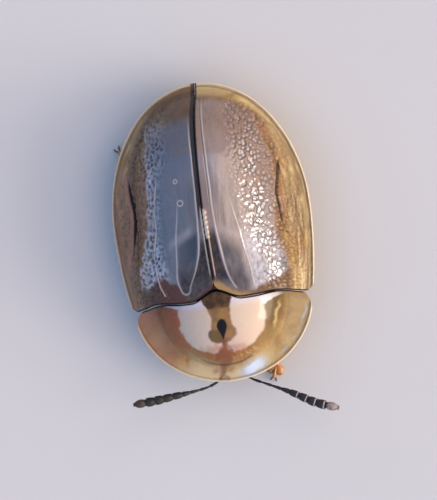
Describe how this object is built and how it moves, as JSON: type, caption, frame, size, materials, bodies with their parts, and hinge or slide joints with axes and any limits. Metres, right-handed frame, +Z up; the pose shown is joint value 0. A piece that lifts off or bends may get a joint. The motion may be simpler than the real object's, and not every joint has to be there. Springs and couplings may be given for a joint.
{
  "type": "tortoise beetle model",
  "caption": "Life-size still model of a tortoise beetle: a low oval dome with a thin flared brim, over a flat body, short legs and two clubbed feelers.",
  "frame": {"origin": "middle of the box's underside, on the surface that the feet stand on", "axes": "+Z up from that surface; the head points to -Y and the tail to +Y; +X is the beetle's left"},
  "size_m": [0.0076, 0.0127, 0.004],
  "materials": {
    "wing_case": "glossy, pitted, grey-brown disc with a see-through honey-coloured brim",
    "shield": "glossy, honey-coloured and see-through at the edge, with two cream patches",
    "dark_cuticle": "satin dark brown",
    "belly_cuticle": "satin brown, ringed",
    "head_cuticle": "satin amber brown",
    "eye": "glossy black, faceted",
    "feeler": "satin black-olive, finely haired",
    "leg_cuticle": "glossy amber"
  },
  "bodies": {
    "root": {"elytron_left": "wing_case", "elytron_right": "wing_case", "pronotum": "shield", "scutellum": "dark_cuticle", "prothorax": "dark_cuticle", "mesothorax": "dark_cuticle", "metathorax": "dark_cuticle", "abdomen": "belly_cuticle", "head": "head_cuticle", "mouthparts": "head_cuticle", "eye_left": "eye", "eye_right": "eye", "antenna_left": "feeler", "antenna_right": "feeler", "leg_front_left": "leg_cuticle", "leg_front_right": "leg_cuticle", "leg_middle_left": "leg_cuticle", "leg_middle_right": "leg_cuticle", "leg_hind_left": "leg_cuticle", "leg_hind_right": "leg_cuticle"}
  },
  "joints": []
}
